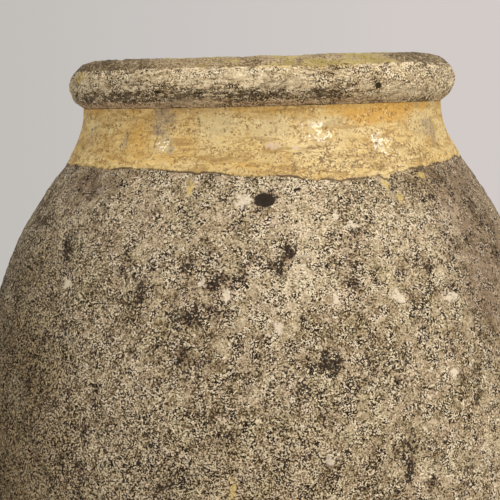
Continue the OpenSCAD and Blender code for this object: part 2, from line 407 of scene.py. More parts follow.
def lip_relief(p):
    """How far the hand-rolled lip stands out: finger swells, scars and worn grain."""
    crown = smoothstep(CROWN_R + 0.026, CROWN_R + 0.004, np.hypot(p[:, 0], p[:, 1])) * (p[:, 2] > SEAT_Z + LIP_WIDE_H)
    swell = 0.0011 * noise(p, (0.09, 0.09, 0.05), 11) + 0.0006 * noise(p, (0.035, 0.035, 0.02), 12)
    drag = 0.0005 * layered(p, (0.03, 0.03, 0.0055), 13, 2)
    wear = 0.0004 * layered(p, 0.009, 14, 3, 0.7)
    scars = -0.0012 * smoothstep(0.35, 0.5, layered(p, (0.026, 0.026, 0.012), 15, 3, 0.6))
    pits = -0.0012 * smoothstep(0.5, 0.85, noise(p, 0.007, 16))
    near_seat = smoothstep(SEAT_Z, SEAT_Z + 0.012, p[:, 2])
    return (swell * (1 - 0.8 * crown) - 0.0009 * crown + drag + wear + scars + pits) * near_seat


def glaze_relief(p):
    """How far the collar's glaze stands out from the clay under it: pooling, pinholes and broken blisters."""
    flow = 0.00025 * noise(p, (0.05, 0.05, 0.012), 21) + 0.00018 * noise(p, (0.02, 0.02, 0.03), 22)
    dimples = 0.00012 * layered(p, 0.006, 23, 2)
    pins = -0.0007 * smoothstep(0.6, 0.8, noise(p, 0.0075, 24))
    chips = -0.0007 * smoothstep(0.5, 0.6, layered(p, 0.018, 25, 3, 0.6))
    return flow + dimples + pins + chips


def under_relief(p):
    """The foot's underside: gritty, and only ever worn inwards from flat."""
    return -0.0003 - 0.0008 * np.clip(0.6 + layered(p, 0.03, 31, 3), 0, 1.6) \
        - 0.0010 * smoothstep(0.3, 0.5, noise(p, 0.012, 32))


def inside_relief(p):
    """The thick glaze over the rope's marks."""
    return 0.0006 * noise(p, 0.06, 41) + 0.00025 * layered(p, 0.014, 42, 2)


def smooth_relief(p):
    return np.zeros(len(p))


# Materials

def colour(red, green, blue):
    """A scene colour from its 0 to 255 screen values."""
    def linear(c):
        c /= 255
        return c / 12.92 if c <= 0.04045 else ((c + 0.055) / 1.055) ** 2.4
    return (linear(red), linear(green), linear(blue), 1)


class Finish:
    """A material's nodes. Every method gives back a socket that the next one may take."""

    def __init__(self, name):
        self.material = bpy.data.materials.new(name)
        self.material.use_nodes = True
        self.tree = self.material.node_tree
        self.tree.nodes.clear()
        self.place = self.node("ShaderNodeTexCoord", "Object")
        self.out = self.tree.nodes.new("ShaderNodeOutputMaterial")

    def join(self, value, target):
        if isinstance(value, bpy.types.NodeSocket):
            self.tree.links.new(value, target)
        else:
            target.default_value = value

    def node(self, kind, output=0, settings=None, **inputs):
        made = self.tree.nodes.new(kind)
        for key, value in (settings or {}).items():
            setattr(made, key, value)
        for key, value in inputs.items():
            self.join(value, made.inputs[int(key[1:]) if key[0] == "_" else key])
        return made.outputs[output]

    def mask(self, name):
        return self.node("ShaderNodeAttribute", "Fac", {"attribute_name": name})

    def math(self, operation, a, b=0.0, clamp=False):
        return self.node("ShaderNodeMath", 0, {"operation": operation, "use_clamp": clamp}, _0=a, _1=b)

    def at(self, shift=0.0, stretch=(1, 1, 1)):
        """The place on the object, moved so that two uses of one pattern differ."""
        return self.node("ShaderNodeMapping", 0, None, Vector=self.place, Location=(shift, shift * 1.7, shift * 0.6),
                         Scale=stretch)

    def noise(self, size, shift=0.0, detail=3, rough=0.55, stretch=(1, 1, 1), twist=0.0):
        return self.node("ShaderNodeTexNoise", "Fac", {"noise_dimensions": "3D"}, Vector=self.at(shift, stretch),
                         Scale=1 / size, Detail=detail, Roughness=rough, Distortion=twist)

    def cells(self, size, shift=0.0, output="Distance", stretch=(1, 1, 1), randomness=1.0):
        return self.node("ShaderNodeTexVoronoi", output, None, Vector=self.at(shift, stretch), Scale=1 / size,
                         Randomness=randomness)

    def chance(self, size, shift=0.0):
        """A random number from 0 to 1 for each cell of a pattern."""
        tint = self.cells(size, shift, "Color")
        return self.node("ShaderNodeSeparateColor", 0, None, Color=tint)

    def ramp(self, value, low, high):
        """0 below low and 1 above high, or the other way round where low is the greater."""
        return self.node("ShaderNodeMapRange", 0, {"interpolation_type": "SMOOTHSTEP"}, Value=value,
                         _1=low, _2=high)

    def tones(self, value, *stops):
        """A colour for each value, from stops of (value, colour)."""
        made = self.tree.nodes.new("ShaderNodeValToRGB")
        self.join(value, made.inputs[0])
        ramp = made.color_ramp
        for place, shade in stops[1:-1]:
            ramp.elements.new(place)
        for element, (place, shade) in zip(ramp.elements, stops):
            element.position = place
            element.color = shade
        return made.outputs[0]

    def ragged(self, mask, size, shift, low, high, amount=0.9):
        """A mask on the mesh with its soft edge broken up by noise."""
        broken = self.math("SUBTRACT", self.noise(size, shift, 4, 0.75), 0.5)
        return self.ramp(self.sum(self.mask(mask), self.times(broken, amount)), low, high)

    def mix(self, factor, a, b, blend="MIX"):
        made = self.tree.nodes.new("ShaderNodeMix")
        made.data_type = "RGBA"
        made.blend_type = blend
        self.join(factor, made.inputs[0])
        self.join(a, made.inputs[6])
        self.join(b, made.inputs[7])
        return made.outputs[2]

    def times(self, *values):
        total = values[0]
        for value in values[1:]:
            total = self.math("MULTIPLY", total, value)
        return total

    def sum(self, *values):
        total = values[0]
        for value in values[1:]:
            total = self.math("ADD", total, value)
        return total

    def bump(self, height, distance, strength=1.0):
        return self.node("ShaderNodeBump", 0, None, Height=height, Distance=distance, Strength=strength)

    def finish(self, base, roughness, normal, shine=0.5):
        shader = self.node("ShaderNodeBsdfPrincipled", 0, None, _0=base, Roughness=roughness, Normal=normal)
        shader.node.inputs["Specular IOR Level"].default_value = shine
        self.tree.links.new(shader, self.out.inputs["Surface"])
        return self.material


def grains(f, base, dark, light, size, dark_share, light_share, shift=0.0):
    """Grains of two other colours scattered over a base."""
    chance = f.chance(size, shift)
    shape = f.ramp(f.sum(f.cells(size, shift), f.times(f.noise(size * 0.7, shift + 0.5, 3, 0.8), 0.6)), 0.86, 0.62)
    base = f.mix(f.times(f.ramp(chance, dark_share + 0.03, dark_share - 0.03), shape), base, dark)
    return f.mix(f.times(f.ramp(chance, 0.97 - light_share, 1.03 - light_share), shape), base, light)


def centred(f, value, amount):
    """A pattern's value from 0 to 1 made into a push to either side of nothing."""
    return f.times(f.math("SUBTRACT", value, 0.5), amount)


def body_clay():
    """Grey-tan clay, grainy, with clusters of dark lichen, pale bare flecks and olive and violet stains, with painted
    shade on the left side and lower middle and painted light over the front of the shoulder.
    """
    f = Finish("weathered clay")
    grit = f.sum(f.times(f.noise(0.0015, 2.0, 1, 0.8), 0.72), f.times(f.chance(0.0012, 2.5), 0.28), 0.0)
    fine = f.noise(0.0042, 4.0, 2, 0.9)
    middling = f.noise(0.013, 3.0, 3, 0.7)
    broad = f.noise(0.07, 1.0, 3)
    # smooth patches and rough ones
    rough = f.sum(0.50, f.times(f.ramp(f.noise(0.011, 3.5, 3, 0.7), 0.46, 0.64), 2.6), f.times(f.mask("olive"), 1.1),
                  f.times(f.mask("shade"), 1.3), f.times(f.mask("violet"), -0.35))
    # the pale mask lifts the tone: a real pale strip under the glaze, and painted light over the front of the
    # shoulder; the shade mask lowers it as painted shade
    tone = f.sum(0.512, f.times(centred(f, grit, 1.85), rough), f.times(centred(f, fine, 0.52), rough),
                 centred(f, middling, 0.65), centred(f, broad, 0.35), f.times(f.mask("pale"), 0.18),
                 f.times(f.mask("shade"), -0.045))
    base = f.tones(tone, (0.10, colour(30, 17, 4)), (0.34, colour(90, 72, 46)), (0.46, colour(154, 137, 111)),
                   (0.58, colour(176, 159, 133)), (0.90, colour(240, 226, 203)))
    stain = f.mix(f.noise(0.028, 13.0, 4, 0.75), colour(240, 242, 208), colour(255, 240, 244))
    base = f.mix(0.8, base, stain, "MULTIPLY")
    base = f.mix(f.mask("olive"), base, colour(212, 201, 175), "MULTIPLY")
    # painted shade: darkens the left side and the lower middle of the body
    base = f.mix(f.mask("shade"), base, colour(222, 217, 208), "MULTIPLY")
    base = f.mix(f.mask("violet"), base, colour(208, 202, 203), "MULTIPLY")
    # clusters of dark lichen, each of many small dots, with a dark film between them
    spread = f.sum(centred(f, f.noise(0.016, 5.0, 3, 0.7), 1.4), centred(f, f.noise(0.05, 5.5, 2), 0.9),
                   f.times(f.mask("lichen"), 0.24))
    film = f.ramp(f.sum(f.noise(0.010, 6.5, 3), spread), 0.62, 0.95)
    base = f.mix(film, base, colour(196, 184, 178), "MULTIPLY")
    dots = f.ramp(f.sum(f.noise(0.0025, 6.0, 1, 0.9), f.times(spread, 0.34), f.times(f.mask("lichen"), 0.07)), 0.605, 0.650)
    lichen = f.mix(f.noise(0.02, 6.7, 2), colour(30, 24, 12), colour(58, 46, 38))
    base = f.mix(f.times(dots, 0.95), base, lichen)
    # pale flecks of bare clay, and yellow drips
    bare = f.sum(f.noise(0.0052, 7.0, 3, 0.9), centred(f, f.noise(0.04, 7.5, 3), 0.5))
    base = f.mix(f.times(f.ramp(bare, 0.66, 0.72), 0.75), base, colour(224, 210, 184))
    base = f.mix(f.times(f.ragged("fleck", 0.0040, 9.0, 0.45, 0.85, 2.0), 0.8), base, colour(226, 208, 182))
    base = f.mix(f.times(f.ragged("yellow", 0.0036, 10.0, 0.35, 0.8, 2.2), 0.7), base, colour(204, 176, 104))
    base = f.mix(f.ragged("black", 0.0036, 11.0, 0.40, 0.65, 0.8), base, colour(50, 41, 32))
    height = f.sum(f.times(centred(f, grit, 0.9), rough), f.times(centred(f, fine, 1.2), rough),
                   centred(f, middling, 0.8), f.times(dots, 0.2))
    return f.finish(base, 0.95, f.bump(height, 0.0014, 0.8), 0.15)


def lip_clay():
    """Tan clay, scratched and worn along the way it was rolled, with dark grime in its hollows."""
    f = Finish("worn lip clay")
    grit = f.noise(0.0016, 22.5, 1, 0.8)
    drag = f.noise(0.007, 22.0, 4, 0.85, (0.30, 0.30, 1.0), 1.5)
    broad = f.noise(0.04, 21.0, 3, 0.6, (1, 1, 2))
    rough = f.sum(0.6, f.times(f.ramp(f.noise(0.009, 23.5, 3, 0.7, (0.5, 0.5, 1.2)), 0.46, 0.64), 2.8))
    tone = f.sum(0.55, f.times(centred(f, grit, 1.6), rough), centred(f, drag, 1.5), centred(f, broad, 0.3),
                 f.times(f.mask("pale"), 0.08))
    base = f.tones(tone, (0.10, colour(48, 30, 8)), (0.34, colour(118, 95, 60)), (0.46, colour(178, 154, 116)),
                   (0.60, colour(208, 185, 147)), (0.90, colour(248, 229, 194)))
    base = f.mix(f.mask("violet"), base, colour(240, 232, 230), "MULTIPLY")
    base = f.mix(f.times(f.ragged("gold", 0.008, 20.0, 0.4, 0.7), 0.6), base, colour(200, 168, 92))
    # dark curved scratches
    lines = f.math("ABSOLUTE", f.math("SUBTRACT", f.noise(0.020, 25.0, 2, 0.5, (0.6, 0.6, 1), 1.0), 0.5))
    lines = f.times(f.ramp(lines, 0.026, 0.008), f.ramp(f.noise(0.018, 25.5, 2), 0.46, 0.56))
    base = f.mix(f.times(lines, 0.6), base, colour(96, 74, 44))
    grime = f.sum(f.noise(0.0034, 24.0, 3, 0.9, (0.55, 0.55, 1.2)), f.times(f.mask("grime"), 0.155),
                  centred(f, f.noise(0.013, 24.5, 3, 0.7, (0.4, 0.4, 1.2)), 0.42))
    grime = f.ramp(grime, 0.600, 0.650)
    base = f.mix(f.times(grime, 0.85), base, colour(64, 46, 22))
    base = f.mix(f.times(f.ragged("pale", 0.008, 26.0, 0.3, 0.9), 0.4), base, colour(212, 190, 152))
    base = f.mix(f.ragged("black", 0.004, 27.0, 0.4, 0.55), base, colour(54, 40, 22))
    height = f.sum(f.times(centred(f, grit, 0.8), rough), centred(f, drag, 1.6), f.times(grime, -0.3),
                   f.times(lines, -0.6))
    return f.finish(base, 0.88, f.bump(height, 0.0018, 0.8), 0.2)


def collar_finish():
    """Golden lead glaze over pale slip: amber where thick, greyed and pitted where it has weathered, and
    glossy only where it is still whole. A dark line along its lower edge is painted shadow, and one pale
    scummed patch is a painted highlight."""
    f = Finish("yellow glaze")
    broad = f.noise(0.045, 31.0, 3, 0.6, (1, 1, 1.8))
    base = f.mix(f.ramp(broad, 0.35, 0.65), colour(217, 178, 101), colour(231, 201, 135))
    streak = f.noise(0.018, 32.0, 4, 0.65, (0.40, 0.40, 1.6), 0.8)
    base = f.mix(f.times(f.ramp(streak, 0.50, 0.60), 0.55), base, colour(182, 140, 68))
    waves = f.noise(0.010, 32.5, 3, 0.7, (0.25, 0.25, 1.1), 1.2)
    base = f.mix(f.times(f.ramp(waves, 0.52, 0.60), 0.65), base, colour(162, 122, 56))
    base = f.mix(f.times(f.ramp(waves, 0.48, 0.38), 0.4), base, colour(224, 198, 140))
    base = f.mix(f.mask("dull"), base, colour(232, 233, 236), "MULTIPLY")
    base = f.mix(f.times(f.ragged("amber", 0.012, 30.0, 0.2, 1.0), 0.78), base, colour(194, 142, 44))
    # pale scummed glaze, and at bearing -28.4 a painted highlight where the glaze shows a whitish glint
    base = f.mix(f.times(f.ragged("scum_and_painted_highlight", 0.012, 30.5, 0.2, 1.0), 0.5), base, colour(198, 180, 134))
    grit = f.noise(0.0022, 33.5, 1, 0.8)
    mottle = f.noise(0.0050, 33.0, 4, 0.85)
    worn = f.sum(0.28, f.times(f.ramp(f.noise(0.014, 34.5, 3, 0.7, (0.6, 0.6, 1.4)), 0.45, 0.60), 0.95),
                 f.times(f.mask("olive"), 0.3))
    base = f.mix(f.times(f.ramp(grit, 0.50, 0.72), worn), base, colour(134, 96, 38))
    base = f.mix(f.times(f.ramp(grit, 0.46, 0.26), worn, 0.5), base, colour(238, 214, 156))
    base = f.mix(f.times(f.ramp(mottle, 0.53, 0.64), worn), base, colour(142, 106, 52))
    olive = f.ramp(f.sum(mottle, centred(f, grit, 0.3), f.times(f.mask("olive"), 0.13)), 0.61, 0.68)
    base = f.mix(f.times(olive, 0.85), base, colour(112, 86, 44))
    pits = f.times(f.ramp(f.cells(0.007, 34.0), 0.26, 0.12), f.ramp(f.chance(0.007, 34.0), 0.72, 0.80))
    pits = f.math("MAXIMUM", pits, f.ramp(f.noise(0.0032, 39.0, 2, 0.9), 0.635, 0.68))
    base = f.mix(f.times(pits, 0.75), base, colour(104, 70, 28))
    base = f.mix(f.times(f.ragged("lichen", 0.006, 35.5, 0.35, 0.85, 1.8), 0.55), base, colour(156, 136, 108))
    grime = f.ramp(f.sum(f.noise(0.0040, 35.0, 4, 0.85), f.times(f.mask("lichen"), 0.14)), 0.64, 0.70)
    base = f.mix(f.times(grime, 0.75), base, colour(108, 88, 66))
    bare = f.ragged("bare", 0.005, 36.0, 0.45, 0.7, 1.2)
    base = f.mix(bare, base, colour(200, 172, 138))
    # painted shadow: a thin dark line along the glaze's lower edge, where the coat's thickness casts shade
    base = f.mix(f.times(f.ragged("edge", 0.005, 36.5, 0.35, 0.75, 1.3), 0.85), base, colour(70, 46, 22))
    whole = f.times(f.ragged("whole", 0.009, 37.0, 0.45, 0.65, 1.4), f.ramp(grit, 0.62, 0.5))
    matt = f.sum(0.60, f.times(whole, -0.48), f.times(grime, 0.2))
    height = f.sum(f.times(f.noise(0.014, 38.0, 3), 0.6), f.times(mottle, -0.35), f.times(pits, -0.5),
                   f.times(grime, 0.15), f.times(centred(f, grit, -0.5), worn))
    return f.finish(base, matt, f.bump(height, 0.0008, 0.5), 0.5)


def crown_finish():
    """Thin yellow-green glaze, worn through to tan clay and grime on the crown."""
    f = Finish("worn glaze")
    wear = f.noise(0.014, 41.0, 4, 0.7, (0.6, 0.6, 1))
    grit = f.noise(0.0020, 43.5, 1, 0.8)
    glaze = f.mix(f.ramp(f.noise(0.03, 42.0, 3), 0.38, 0.62), colour(150, 130, 68), colour(172, 152, 92))
    clay = f.tones(f.sum(grit, centred(f, wear, 0.5)), (0.22, colour(50, 34, 14)), (0.40, colour(108, 87, 57)),
                   (0.52, colour(148, 127, 95)), (0.76, colour(192, 170, 134)))
    worn = f.ramp(f.sum(wear, centred(f, grit, 0.3), f.times(f.mask("worn"), 0.30)), 0.56, 0.64)
    base = f.mix(f.math("MAXIMUM", worn, f.times(f.ramp(grit, 0.50, 0.36), 0.7)), glaze, clay)
    grime = f.ramp(f.sum(f.noise(0.0040, 45.0, 4, 0.9), f.times(f.mask("grime"), 0.17)), 0.60, 0.65)
    base = f.mix(f.times(grime, 0.85), base, colour(64, 48, 26))
    matt = f.sum(f.times(worn, 0.2), f.times(grime, 0.1), 0.6)
    height = f.sum(f.times(wear, -0.8), centred(f, grit, 0.6), f.times(grime, -0.2))
    return f.finish(base, matt, f.bump(height, 0.0012, 0.7), 0.3)


def inside_finish():
    """Brown-yellow glaze, darker where it pooled in the rope's marks and over the floor."""
    f = Finish("inside glaze")
    flow = f.noise(0.05, 51.0, 4, 0.6, (1, 1, 0.35), 0.6)
    base = f.mix(f.ramp(flow, 0.35, 0.65), colour(150, 112, 58), colour(190, 152, 88))
    base = f.mix(f.times(f.mask("pool"), 0.6), base, colour(112, 76, 34))
    base = f.mix(f.times(f.ramp(f.noise(0.006, 52.0, 4, 0.7), 0.52, 0.64), 0.5), base, colour(128, 96, 54))
    dirt = f.ramp(f.sum(f.noise(0.02, 53.0, 4, 0.7), f.times(f.mask("dirt"), 0.2)), 0.62, 0.74)
    base = f.mix(f.times(dirt, 0.7), base, colour(104, 88, 66))
    rough = f.sum(f.times(dirt, 0.4), f.times(flow, 0.15), 0.16)
    height = f.sum(f.times(f.noise(0.01, 54.0, 3), 0.6), f.times(f.noise(0.003, 55.0, 2), 0.15))
    return f.finish(base, rough, f.bump(height, 0.0008, 0.6), 0.6)


def raw_clay():
    """Pinkish-buff fired clay with grog, rubbed and gritty, for what stands on the floor or is hidden."""
    f = Finish("terracotta")
    base = f.mix(f.ramp(f.noise(0.05, 61.0, 4, 0.6), 0.36, 0.64), colour(170, 134, 102), colour(196, 162, 126))
    base = f.mix(f.times(f.ramp(f.noise(0.012, 62.0, 4, 0.7), 0.5, 0.66), 0.6), base, colour(138, 110, 84))
    base = grains(f, base, colour(96, 76, 58), colour(218, 190, 154), 0.0032, 0.12, 0.12, 63.0)
    height = f.sum(f.times(f.noise(0.003, 64.0, 4, 0.7), 0.8), f.times(f.noise(0.02, 65.0, 3), 0.4))
    return f.finish(base, 0.9, f.bump(height, 0.0014, 0.8), 0.2)


# Where the stains, patches and growths are

def body_masks(p):
    """Broad stains, painted shade on the left side and lower middle, painted light over the front of the shoulder,
    and the separate patches on the weathered body.
    """
    bearing = bearing_of(p)
    z = p[:, 2]
    left = smoothstep(-20, -62, bearing) * smoothstep(-172, -125, bearing)
    low_left = left * smoothstep(0.78, 0.56, z)
    ragged = 0.35 * noise(p, 0.09, 71) + 0.2 * noise(p, 0.03, 72)
    olive = low_left * 0.9 + 0.5 * smoothstep(0.62, 0.30, z) + ragged * 0.9 - 0.15
    right = smoothstep(34, 52, bearing) * smoothstep(0.60, 0.68, z) * smoothstep(95, 80, np.abs(bearing))
    under_glaze = patch(p, -52, 0.795, 0.09, 0.030, 0.4, 73)
    violet = np.maximum(right + ragged * 0.7 * (right > 0.05), under_glaze)
    strip = patch(p, 7, 0.794, 0.115, 0.017, 0.45, 74)
    dim = 0.6 * patch(p, 44, 0.790, 0.075, 0.034, 0.4, 75)
    # painted shade on the left side and over the lower middle, where less light falls
    low_middle = smoothstep(24, -12, bearing) * smoothstep(-172, -125, bearing) * smoothstep(0.66, 0.54, z)
    shade = np.maximum(left * smoothstep(0.79, 0.70, z), 0.45 * low_middle)
    return {
        "shade": shade,
        "olive": np.maximum(olive, dim),
        "violet": np.maximum(violet, dim),
        # pale: a real pale strip under the glaze, and a broad painted light over the front of the shoulder
        "pale": np.maximum(strip, 0.45 * patch(p, 4, 0.745, 0.24, 0.10, 0.35, 76, 0.9)),
        "lichen": patches(p, [
            (-18.1, 0.766, 0.017, 0.012), (-15.6, 0.724, 0.017, 0.012), (-9.2, 0.709, 0.015, 0.012),
            (-5.0, 0.714, 0.012, 0.010), (4.9, 0.737, 0.014, 0.014), (2.4, 0.721, 0.012, 0.010),
            (-17.0, 0.681, 0.016, 0.014), (-13.2, 0.679, 0.016, 0.014), (10.7, 0.640, 0.026, 0.022),
            (5.5, 0.616, 0.018, 0.012), (1.5, 0.546, 0.018, 0.014), (-29.0, 0.736, 0.014, 0.030),
            (-25.0, 0.692, 0.014, 0.022), (8.2, 0.592, 0.016, 0.016), (17.0, 0.702, 0.014, 0.016),
            (35.0, 0.642, 0.012, 0.018), (46.0, 0.562, 0.018, 0.022), (-47.0, 0.737, 0.018, 0.028),
            (120.0, 0.62, 0.06, 0.05), (160.0, 0.70, 0.05, 0.04), (-120.0, 0.66, 0.05, 0.06),
            (-160.0, 0.50, 0.07, 0.05), (90.0, 0.48, 0.05, 0.06), (-95.0, 0.45, 0.06, 0.06),
        ]),
        "fleck": patches(p, [
            (-4.9, 0.782, 0.016, 0.013), (-12.2, 0.709, 0.008, 0.008), (-7.4, 0.698, 0.007, 0.014),
            (38.0, 0.685, 0.018, 0.009), (34.7, 0.617, 0.008, 0.010), (9.6, 0.553, 0.008, 0.010),
            (19.5, 0.757, 0.011, 0.008), (16.0, 0.766, 0.008, 0.006), (25.5, 0.692, 0.014, 0.014),
            (2.0, 0.669, 0.010, 0.010), (13.0, 0.692, 0.007, 0.014), (-43.0, 0.701, 0.010, 0.010),
            (150.0, 0.740, 0.020, 0.016), (-135.0, 0.600, 0.016, 0.020), (95.0, 0.660, 0.018, 0.014),
        ]),
        "yellow": patches(p, [
            (-18.2, 0.793, 0.006, 0.014), (-6.0, 0.527, 0.006, 0.022), (31.4, 0.792, 0.008, 0.016),
            (34.0, 0.778, 0.008, 0.010), (45.0, 0.797, 0.010, 0.008), (140.0, 0.780, 0.010, 0.022),
            (-100.0, 0.760, 0.008, 0.018),
        ]),
        "black": patches(p, [(0.1, 0.7815, 0.021, 0.014, 0.15), (7.8, 0.790, 0.013, 0.003), (-175.0, 0.640, 0.016, 0.012)]),
    }


def lip_masks(p):
    """Grime, bare patches and left-over glaze on the lip."""
    bearing = bearing_of(p)
    z = p[:, 2]
    r = np.hypot(p[:, 0], p[:, 1])
    ragged = 0.5 * noise(p, 0.03, 81) + 0.3 * noise(p, 0.010, 82)
    low = smoothstep(SEAT_Z + 0.003, SEAT_Z + 0.008, z) * smoothstep(SEAT_Z + 0.021, SEAT_Z + 0.013, z)
    band = low * smoothstep(34, 16, bearing) * smoothstep(-80, -60, bearing)
    band = np.maximum(band, low * smoothstep(82, 100, np.abs(bearing)))
    top_left = patch(p, -50, SEAT_Z + 0.046, 0.12, 0.018, 0.5, 83)
    top_right = patch(p, 58, SEAT_Z + 0.046, 0.10, 0.026, 0.5, 84)
    back = 0.7 * smoothstep(90, 110, np.abs(bearing)) * smoothstep(SEAT_Z + 0.03, SEAT_Z + 0.05, z)
    top = 0.45 * smoothstep(SEAT_Z + 0.034, SEAT_Z + 0.042, z)
    grime = np.maximum.reduce([band + 0.7 * ragged, top_left, top_right, top + ragged, back + ragged, ragged - 0.25])
    violet = smoothstep(SEAT_Z + 0.010, SEAT_Z + 0.004, z) * (r > 0.19) \
        * smoothstep(40, 20, bearing) * smoothstep(-172, -125, bearing)
    return {
        "grime": grime,
        "violet": violet,
        "gold": patches(p, [(-65, 0.901, 0.03, 0.012), (-80, 0.890, 0.03, 0.012), (14, 0.909, 0.19, 0.009), (120, 0.892, 0.05, 0.012)]),
        "pale": patches(p, [
            (28.8, 0.886, 0.014, 0.015), (-13.6, 0.872, 0.010, 0.008), (-22.0, 0.874, 0.040, 0.010), (6.0, 0.889, 0.070, 0.014), (-14.2, 0.885, 0.005, 0.020),
            (-6.0, 0.898, 0.040, 0.010), (-140.0, 0.890, 0.030, 0.014), (42.0, 0.877, 0.090, 0.008),
        ]),
        "black": patches(p, [(32.8, 0.885, 0.006, 0.006), (-29, 0.884, 0.007, 0.003)]),
    }


def collar_masks(p):
    """Pooled, scummed, mottled and bare parts of the collar's glaze, with one painted highlight among the scummed
    patches.
    """
    bearing = bearing_of(p)
    z = p[:, 2]
    ragged = 0.35 * noise(p, (0.04, 0.04, 0.02), 91)
    under_lip = smoothstep(SEAT_Z - 0.010, SEAT_Z - 0.003, z) * np.clip(0.6 + 2 * ragged, 0, 1)
    return {
        "amber": np.maximum.reduce([under_lip, patch(p, 39, 0.864, 0.11, 0.032, 0.4, 95), 0.65 * patches(p, [
            (-38.0, 0.840, 0.040, 0.050), (-26.0, 0.820, 0.050, 0.012),
            (-6.0, 0.812, 0.030, 0.006), (130.0, 0.840, 0.060, 0.040), (-120.0, 0.835, 0.060, 0.030),
        ])]),
        "scum_and_painted_highlight": patches(p, [
            # the first patch is a painted highlight, a whitish glint laid on as pale glaze; the others are real
            # scummed glaze
            (-28.4, 0.834, 0.020, 0.020), (-14.0, 0.852, 0.050, 0.026), (2.0, 0.846, 0.060, 0.020), (18.0, 0.852, 0.050, 0.010),
            (55.0, 0.845, 0.040, 0.030), (160.0, 0.845, 0.080, 0.030), (-150.0, 0.850, 0.070, 0.020),
        ]),
        "dull": smoothstep(-38, -10, bearing) * smoothstep(160, 120, bearing),
        "olive": np.maximum.reduce([patch(p, 21, 0.815, 0.120, 0.026, 0.5, 92), patch(p, 46, 0.816, 0.05, 0.018, 0.5, 94),
                                    0.6 * patch(p, 60, 0.835, 0.05, 0.05, 0.5, 93)]),
        "lichen": patches(p, [
            (-29.5, 0.862, 0.030, 0.024), (-31.0, 0.848, 0.020, 0.014), (-43.0, 0.838, 0.008, 0.020),
            (-26.0, 0.828, 0.008, 0.010), (60.0, 0.842, 0.030, 0.030), (100.0, 0.850, 0.040, 0.020),
            (-100.0, 0.840, 0.030, 0.030), (175.0, 0.830, 0.040, 0.020),
        ]),
        "bare": patches(p, [(2.4, 0.830, 0.016, 0.006), (9.0, 0.827, 0.008, 0.005), (-150.0, 0.830, 0.020, 0.012)]),
        "whole": patches(p, [
            (15.5, 0.849, 0.030, 0.009), (16.8, 0.839, 0.032, 0.010), (36.2, 0.830, 0.028, 0.030),
            (-28.4, 0.833, 0.014, 0.012), (-60.0, 0.840, 0.030, 0.030), (110.0, 0.835, 0.060, 0.030),
            (-110.0, 0.845, 0.060, 0.030), (150.0, 0.830, 0.080, 0.030), (-170.0, 0.840, 0.080, 0.030),
        ]),
    }


def crown_masks(p):
    """Where the crown's glaze is worn off or covered with grime."""
    bearing = bearing_of(p)
    r = np.hypot(p[:, 0], p[:, 1])
    ragged = 0.5 * noise(p, 0.03, 101) + 0.3 * noise(p, 0.010, 102)
    front = smoothstep(-42, -20, bearing) * smoothstep(52, 34, bearing)
    inner_side = smoothstep(CROWN_R - 0.002, CROWN_R - 0.009, r)
    outer_edge = smoothstep(CROWN_R + 0.004, CROWN_R + 0.016, r) \
        * smoothstep(30, -10, bearing) * smoothstep(-172, -125, bearing)
    back_edge = smoothstep(CROWN_R + 0.001, CROWN_R - 0.002, r) * smoothstep(CROWN_R - 0.010, CROWN_R - 0.004, r)
    return {"worn": (1 - front) * (1 - inner_side) + 0.7 * outer_edge + ragged,
            "grime": 0.8 * (1 - front) + 0.8 * back_edge + ragged}


def inside_masks(p):
    z = p[:, 2]
    r = np.hypot(p[:, 0], p[:, 1])
    s = np.interp(z, OUTER.points[:, 1], OUTER.lengths)
    mark = rope_mark(s) / ROPE_DEPTH
    floor = smoothstep(BASE_TOP + 0.03, BASE_TOP + 0.004, z)
    throat = smoothstep(SEAM_Z - 0.05, SEAM_Z + 0.03, z)
    return {"pool": np.maximum(mark * (z < SEAM_Z) * 0.8, floor) * (1 - 0.5 * throat),
            "dirt": floor * smoothstep(0.12, 0.03, r) + 0.6 * throat + 0.4 * noise(p, 0.05, 111)}


# The clay pieces

def build_foot(terracotta, clay):
    bevel = 0.003
    disc = Outline()
    disc.add_line(Line([(0, 0), (BASE_R - bevel, 0)]), FINE)
    disc.add([(BASE_R, bevel), (BASE_R, BASE_TOP)])
    disc.add(np.linspace((BASE_R, BASE_TOP), (0, BASE_TOP), 12)[1:])
    turned_piece("base-disc", "base_disc", terracotta, disc, under_relief, on_axis=True)

    lap = OUTER.at(FOOT_LAP)
    side = Line(bezier([(BASE_R + FOOT_W, FOOT_BEVEL), (BASE_R + FOOT_W + FOOT_BEVEL, BASE_TOP),
                        lap + [FOOT_BEVEL, -FOOT_BEVEL], lap], np.linspace(0, 1, 60)))
    toe = Line([(BASE_R + FOOT_W - FOOT_BEVEL, 0), (BASE_R + FOOT_W - FOOT_BEVEL / 4, FOOT_BEVEL / 4),
                (BASE_R + FOOT_W, FOOT_BEVEL)])
    ring = Outline()
    ring.add_line(Line([(BASE_R, 0), toe.points[0]]), FINE, 0.5)
    ring.add_line(toe, FINE, 0.6)
    ring.add_line(side, FINE)
    ring.add(OUTER.at(np.linspace(FOOT_LAP, 0, 4)[1:]))
    turned_piece("foot-ring", "foot_ring", clay, ring, foot_relief, body_masks)

    coil = Outline()
    coil.add(CORNER_BEND)
    coil.add(inner(np.linspace(CORNER_S, 0.002, 4)[1:]))
    coil.add(WALL_INSIDE)
    turned_piece("corner-coil", "corner_coil", terracotta, coil, smooth_relief,
                 around=AROUND_INSIDE)


def foot_relief(p):
    """The foot ring's relief, which never reaches below the floor."""
    upright = smoothstep(0.0, 0.006, p[:, 2])
    return np.where(p[:, 2] < 1e-5, under_relief(p), clay_relief(p) * upright + 0.0008 * noise(p, 0.03, 33) * upright)


